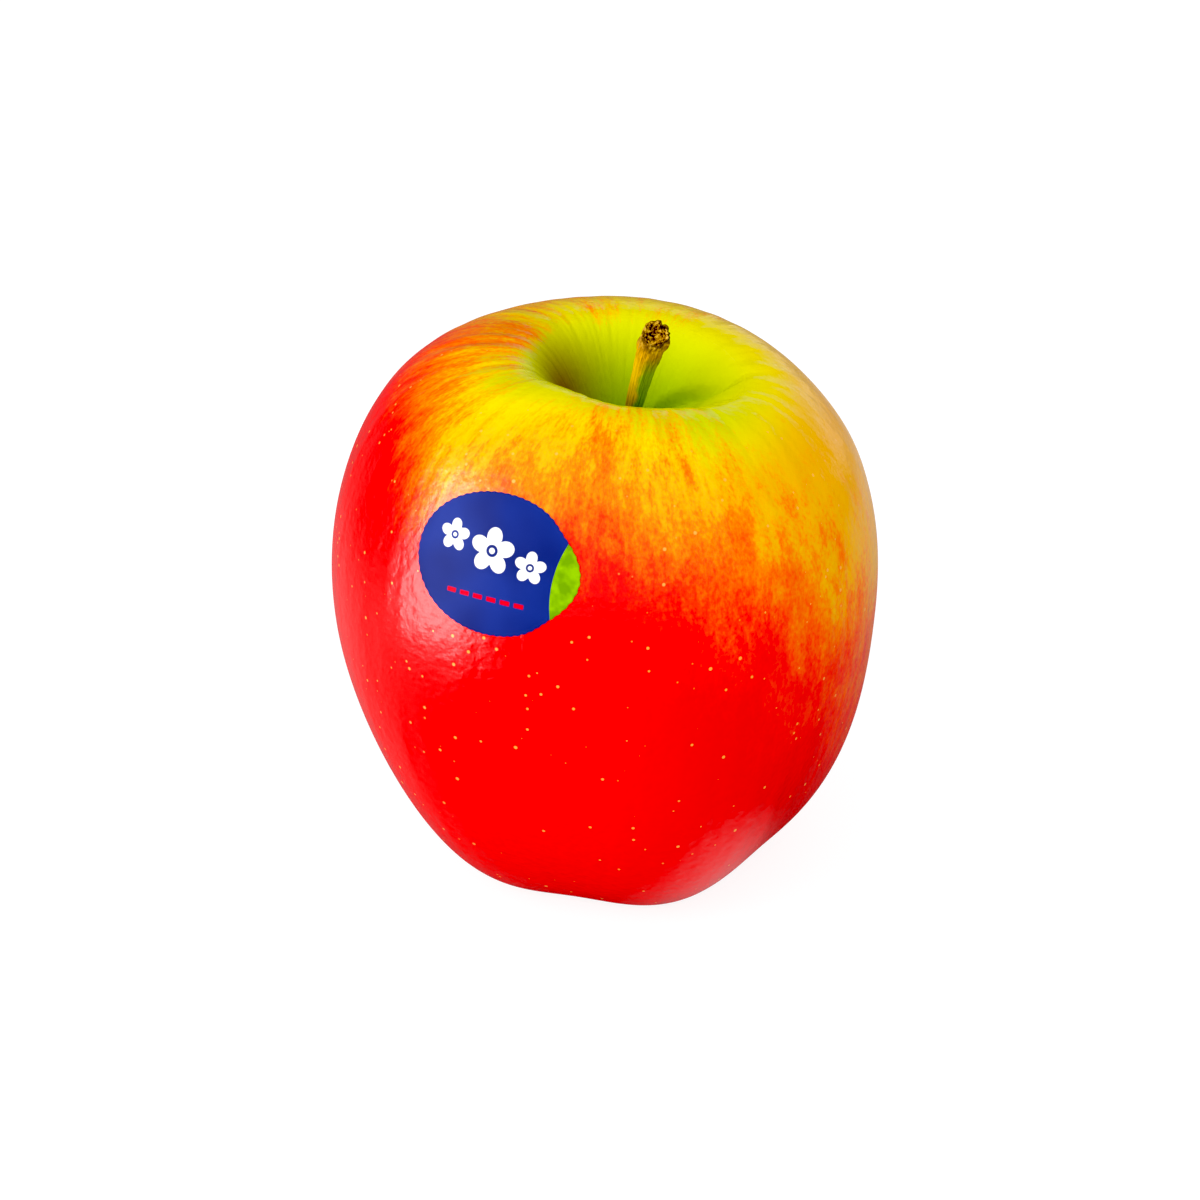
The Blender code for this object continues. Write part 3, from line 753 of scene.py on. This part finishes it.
def printedFilm():
    # polypropylene label film with flat inks: even colour, soft sheen
    material, tree, shader = newMaterial("printedLabelFilm")
    flat = addNode(tree, "ShaderNodeAttribute", attribute_name="flat").outputs["Vector"]
    cloud = addNode(tree, "ShaderNodeTexNoise", {"Vector": flat, "Scale": 0.12, "Detail": 1.0})
    blue = addNode(tree, "ShaderNodeValToRGB", {"Fac": cloud.outputs["Fac"]})
    addStops(blue, [(0.35, "#273074"), (0.65, "#2b3a8a")])
    leaf = addNode(tree, "ShaderNodeTexNoise", {"Vector": flat, "Scale": 0.5, "Detail": 2.0})
    green = addNode(tree, "ShaderNodeValToRGB", {"Fac": leaf.outputs["Fac"]})
    addStops(green, [(0.40, "#6f9c06"), (0.60, "#8cbc0c")])

    # each ink covers the blue where its distance is above 0, with an edge as soft as a print's
    inked = blue.outputs["Color"]
    half = stickerForm["inkEdge"]
    inks = {"red": hexColour("#d3122c"), "white": hexColour("#f2f2f4"), "tab": green.outputs["Color"]}
    for key, ink in inks.items():
        distance = addNode(tree, "ShaderNodeAttribute", attribute_name=key).outputs["Fac"]
        mask = addNode(tree, "ShaderNodeMapRange", {"Value": distance, "From Min": -half, "From Max": half})
        covered = addNode(tree, "ShaderNodeMix", {
            mixFactor: mask.outputs["Result"], mixFrom: inked, mixTo: ink}, data_type="RGBA")
        inked = covered.outputs[mixResult]
    tree.links.new(inked, shader.inputs["Base Color"])
    grain = addNode(tree, "ShaderNodeTexNoise", {"Vector": flat, "Scale": 3.0, "Detail": 2.0})
    relief = addNode(tree, "ShaderNodeBump", {
        "Height": grain.outputs["Fac"], "Strength": 0.2, "Distance": 0.02 * mm})
    tree.links.new(relief.outputs["Normal"], shader.inputs["Normal"])
    shader.inputs["Roughness"].default_value = 0.46
    shader.inputs["Specular IOR Level"].default_value = 0.05
    return material


calyxForm = {
    "ringRadius": 2.5,
    "sepalLength": 5.2,
    "sepalWidth": 2.6,
    "sepalThickness": 0.32,
    "curl": 2.4,
    # how deep the sepals and the stamens are rooted in the basin's skin
    "sepalRoot": 0.25,
    "stamenRoot": 0.3,
    "stamenLength": 3.6,
    "stamenRadius": 1.4,
    "threadRadius": 0.10,
    "antherRadius": 0.13,
    "stamens": 12,
}


def basinCeiling(radius):
    # height of the turned basin's skin at one distance from its axis
    station = np.linspace(4.0, 3.0, 200)
    sectionRadius, height = halfSection(station)
    return float(np.interp(radius, sectionRadius, height)) - fruitForm["restTrim"]


def makeSepals(leaf):
    # each sepal is a closed blade: oval rings across it, wide at the seat and drawn to a point, that drop
    # along it and curl outwards with a power of the length, with ripples on the edge and the face
    f = calyxForm
    top = basinCeiling(math.hypot(f["ringRadius"], 0.5 * f["sepalWidth"])) + f["sepalRoot"]
    turn = np.linspace(0.0, math.tau, 40, endpoint=False)
    turn2, along = np.meshgrid(turn, np.linspace(0.0, 1.0, 60))
    for index in range(fruitForm["lobes"]):
        half = 0.5 * f["sepalWidth"] * (1.0 - 0.93 * along ** 1.4) * (0.8 + 0.2 * smooth(along, 0.0, 0.15))
        edge = ripple(turn2, along, turnWaves=2, alongWaves=6.0, count=8, seed=40 + index)
        half = half * (1.0 + 0.05 * edge)
        thick = 0.5 * f["sepalThickness"] * (1.0 - 0.7 * along)
        closing = np.sqrt(np.clip(np.sin(math.pi * np.clip(along, 0.004, 0.996)) * 9.0, 0.0, 1.0))
        across = np.cos(turn2) * half * closing
        depth = np.sin(turn2) * thick * closing
        cup = 0.10 * across ** 2
        wave = ripple(0.0, along + 0.1 * across, turnWaves=1, alongWaves=2.2, count=4, seed=50 + index)
        curl = f["curl"] * (1.0 + 0.14 * math.sin(2.1 * index)) * along ** 2.2
        reach = f["ringRadius"] + curl + cup + depth + 0.16 * along * wave
        drop = top - f["sepalLength"] * along * (1.0 - 0.18 * along) * (1.0 - 0.06 * math.cos(1.7 * index))
        angle = fruitForm["lobeTurn"] + (index + 0.5) * math.tau / fruitForm["lobes"]
        x = fruitForm["footShift"][0] + reach * math.cos(angle) - across * math.sin(angle)
        y = fruitForm["footShift"][1] + reach * math.sin(angle) + across * math.cos(angle)
        points = np.stack((x, y, drop), axis=-1)
        points[0], points[-1] = points[0].mean(axis=0), points[-1].mean(axis=0)
        sepal = closedGrid(f"sepal{index + 1}", points + coreShift, {"along": along}, leaf)
        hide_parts(f"sepal_{index + 1}")
    print("calyx: five sepals")


def makeStamens(leaf):
    # one thin thread for each stamen: round rings that drop along it and bow outwards with a power of
    # the length, and a small anther, a bell in the radius, near its end
    f = calyxForm
    top = basinCeiling(0.5 * f["stamenRadius"]) + f["stamenRoot"]
    turn = np.linspace(0.0, math.tau, 14, endpoint=False)
    turn2, along = np.meshgrid(turn, np.linspace(0.0, 1.0, 30))
    for index in range(f["stamens"]):
        angle = index * math.tau / f["stamens"] + 0.2 * math.sin(5.0 * index)
        length = f["stamenLength"] * (0.82 + 0.16 * math.sin(3.3 * index))
        radius = f["threadRadius"] + f["antherRadius"] * np.exp(-(((along - 0.9) / 0.07) ** 2))
        radius = radius * np.sqrt(np.clip(np.sin(math.pi * np.clip(along, 0.003, 0.997)) * 12.0, 0.0, 1.0))
        reach = f["stamenRadius"] * (0.55 + 0.30 * along ** 1.5) + radius * np.cos(turn2)
        across = radius * np.sin(turn2)
        x = fruitForm["footShift"][0] + reach * math.cos(angle) - across * math.sin(angle)
        y = fruitForm["footShift"][1] + reach * math.sin(angle) + across * math.cos(angle)
        points = np.stack((x, y, top - length * along), axis=-1)
        points[0], points[-1] = points[0].mean(axis=0), points[-1].mean(axis=0)
        thread = closedGrid(f"stamen{index + 1}", points + coreShift, {"along": along}, leaf)
    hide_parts("stamens")


def witheredLeaf():
    # withered calyx: thin, dry, dark brown leaf with paler downy tips
    material, tree, shader = newMaterial("witheredCalyx")
    along = addNode(tree, "ShaderNodeAttribute", attribute_name="along").outputs["Fac"]
    place = addNode(tree, "ShaderNodeTexCoord").outputs["Object"]
    downWidth = 0.5
    down = addNode(tree, "ShaderNodeTexNoise", {
        "Vector": place, "Scale": 1.0 / (downWidth * mm), "Detail": 3.0})
    mixed = addNode(tree, "ShaderNodeMath", {
        0: down.outputs["Fac"], 1: 0.7, 2: along}, operation="MULTIPLY_ADD")
    ramp = addNode(tree, "ShaderNodeValToRGB", {"Fac": mixed.outputs["Value"]})
    addStops(ramp, [(0.2, "#5a5a1c"), (0.5, "#4a3413"), (0.85, "#2e1d0c"), (1.0, "#7b6543")])
    tree.links.new(ramp.outputs["Color"], shader.inputs["Base Color"])
    relief = addNode(tree, "ShaderNodeBump", {
        "Height": down.outputs["Fac"], "Strength": 0.9, "Distance": 0.1 * mm})
    tree.links.new(relief.outputs["Normal"], shader.inputs["Normal"])
    shader.inputs["Roughness"].default_value = 0.85
    shader.inputs["Sheen Weight"].default_value = 0.3
    return material


coreShift = makeFruit()
makeStem()
makeSticker()
calyxLeaf = witheredLeaf()
makeSepals(calyxLeaf)
makeStamens(calyxLeaf)


studio = {
    "cameraElevation": math.radians(30.0),
    "cameraDistance": 0.600,
    "cameraLens": 135.0,
    "cameraSensor": 36.0,
    "cameraAim": (-0.00066, -0.00007, -0.00077),
    "floorSize": 6.0,
    "floorColour": "#e2e2e2",
    "floorInGloss": "#787878",
    "floorSeen": "#7c7c7c",
    "floorGlow": 0.88,
    # bright places on the table in the gloss: where, how far they reach in metres, how bright
    "tableCards": [
        ((0.021, -0.024, 0.0), 0.022, 0.62), ((0.090, 0.150, 0.0), 0.170, 0.50),
        ((-0.100, 0.030, 0.0), 0.130, 0.25)],
    # the room's brightness: the way it is brightest, the cosines between which it rises, and its least
    # and greatest strength
    "roomInDiffuse": ((-0.15, -0.86, 0.48), (-0.5, 0.6), (0.35, 1.28)),
    "roomInGloss": ((0.0, -0.8, 0.6), (-0.3, 0.5), (0.22, 0.80)),
    # soft boxes: name, place, aim, size, watts, seen by the diffuse colour, seen by the gloss
    "softBoxes": [
        ("leftWindow", (-0.36, -0.20, 0.24), (0, 0, 0.06), (0.30, 0.36), 1.0, True, False),
        ("leftShine", (-0.100, -0.060, 0.068), (-0.020, -0.029, 0.055), (0.062, 0.110), 0.185, False, True),
        ("rearShine", (0.42, 0.72, 0.07), (0, 0, 0.05), (0.60, 0.14), 0.30, False, True),
        ("rearStrip", (0.30, 0.75, 0.31), (0, 0, 0.07), (0.62, 0.12), 0.25, False, True)],
    "blackLevel": 0.033,
}


def makeFloor():
    # a wide white table. To the camera it glows, so that shadows on it stay pale. In the gloss it is
    # darker, which keeps its mirror image out of the wax, and has a few bright cards.
    half = 0.5 * studio["floorSize"]
    mesh = bpy.data.meshes.new("floor")
    corners = [(-half, -half, 0), (half, -half, 0), (half, half, 0), (-half, half, 0)]
    mesh.from_pydata(corners, [], [(0, 1, 2, 3)])
    material, tree, shader = newMaterial("whiteTable")
    path = addNode(tree, "ShaderNodeLightPath")
    lighting = addNode(tree, "ShaderNodeMix", {
        mixFactor: path.outputs["Is Glossy Ray"], mixFrom: hexColour(studio["floorColour"]),
        mixTo: hexColour(studio["floorInGloss"])}, data_type="RGBA")
    colour = addNode(tree, "ShaderNodeMix", {
        mixFactor: path.outputs["Is Camera Ray"], mixFrom: lighting.outputs[mixResult],
        mixTo: hexColour(studio["floorSeen"])}, data_type="RGBA")
    place = addNode(tree, "ShaderNodeTexCoord").outputs["Object"]
    glow = addNode(tree, "ShaderNodeMath", {
        0: path.outputs["Is Camera Ray"], 1: studio["floorGlow"]}, operation="MULTIPLY")
    for middle, reach, strength in studio["tableCards"]:
        away = addNode(tree, "ShaderNodeVectorMath", {0: place, 1: middle}, operation="DISTANCE")
        card = addNode(tree, "ShaderNodeMapRange", {
            "Value": away.outputs["Value"], "From Min": 0.0, "From Max": reach,
            "To Min": strength, "To Max": 0.0}, interpolation_type="SMOOTHSTEP")
        glow = addNode(tree, "ShaderNodeMath", {
            0: path.outputs["Is Glossy Ray"], 1: card.outputs["Result"], 2: glow.outputs["Value"]},
            operation="MULTIPLY_ADD")
    tree.links.new(colour.outputs[mixResult], shader.inputs["Base Color"])
    tree.links.new(glow.outputs["Value"], shader.inputs["Emission Strength"])
    shader.inputs["Emission Color"].default_value = (1, 1, 1, 1)
    shader.inputs["Roughness"].default_value = 0.9
    shader.inputs["Specular IOR Level"].default_value = 0.0
    mesh.materials.append(material)
    floor = bpy.data.objects.new("floor", mesh)
    bpy.context.scene.collection.objects.link(floor)


def makeSoftBox(name, place, aim, size, watts, inDiffuse, inGloss):
    # a rectangular light that faces its aim and is itself never seen by the camera
    light = bpy.data.lights.new(name, "AREA")
    light.shape = "RECTANGLE"
    light.size, light.size_y = size
    light.energy = watts
    lamp = bpy.data.objects.new(name, light)
    lamp.location = place
    lamp.rotation_euler = (Vector(aim) - Vector(place)).to_track_quat("-Z", "Y").to_euler()
    lamp.visible_camera, lamp.visible_diffuse, lamp.visible_glossy = False, inDiffuse, inGloss
    bpy.context.scene.collection.objects.link(lamp)


def makeWorld():
    # a soft white room, brighter in front and above than behind; the gloss sees it darker still
    # behind, so that colours stay deep at the edges
    world = bpy.data.worlds.new("studioRoom")
    bpy.context.scene.world = world
    world.use_nodes = True
    tree = world.node_tree
    tree.nodes.clear()
    direction = addNode(tree, "ShaderNodeTexCoord").outputs["Generated"]
    strengths = []
    for brightWay, (start, end), (least, most) in (studio["roomInDiffuse"], studio["roomInGloss"]):
        facing = addNode(tree, "ShaderNodeVectorMath", {0: direction, 1: brightWay}, operation="DOT_PRODUCT")
        strengths.append(addNode(tree, "ShaderNodeMapRange", {
            "Value": facing.outputs["Value"], "From Min": start, "From Max": end,
            "To Min": least, "To Max": most}).outputs["Result"])
    path = addNode(tree, "ShaderNodeLightPath")
    strength = addNode(tree, "ShaderNodeMix", {
        0: path.outputs["Is Glossy Ray"], 2: strengths[0], 3: strengths[1]}, data_type="FLOAT")
    room = addNode(tree, "ShaderNodeBackground", {"Color": (1, 1, 1, 1), "Strength": strength.outputs[0]})
    seen = addNode(tree, "ShaderNodeBackground", {"Color": (1, 1, 1, 1), "Strength": 1.0})
    mixed = addNode(tree, "ShaderNodeMixShader", {
        0: path.outputs["Is Camera Ray"], 1: room.outputs["Background"], 2: seen.outputs["Background"]})
    addNode(tree, "ShaderNodeOutputWorld", {"Surface": mixed.outputs["Shader"]})


def makeCamera():
    # a long lens that looks down at the middle of the CAD fruit
    s = studio
    low, high = (np.array(corner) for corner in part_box("fruit"))
    aim = Vector(0.5 * (low + high)) + Vector(s["cameraAim"])
    back = Vector((0.0, -math.cos(s["cameraElevation"]), math.sin(s["cameraElevation"])))
    data = bpy.data.cameras.new("camera")
    data.lens = s["cameraLens"]
    data.sensor_width = s["cameraSensor"]
    data.clip_start, data.clip_end = 0.01, 20.0
    camera = bpy.data.objects.new("camera", data)
    camera.location = aim + back * s["cameraDistance"]
    camera.rotation_euler = (-back).to_track_quat("-Z", "Y").to_euler()
    bpy.context.scene.collection.objects.link(camera)
    bpy.context.scene.camera = camera


makeFloor()
makeWorld()
for softBox in studio["softBoxes"]:
    makeSoftBox(*softBox)
makeCamera()
# a small black level deepens the darks
view = bpy.context.scene.view_settings
view.view_transform = "Standard"
view.use_curve_mapping = True
view.curve_mapping.black_level = (studio["blackLevel"],) * 3
view.curve_mapping.update()
print("studio: floor, room, soft lights, camera")
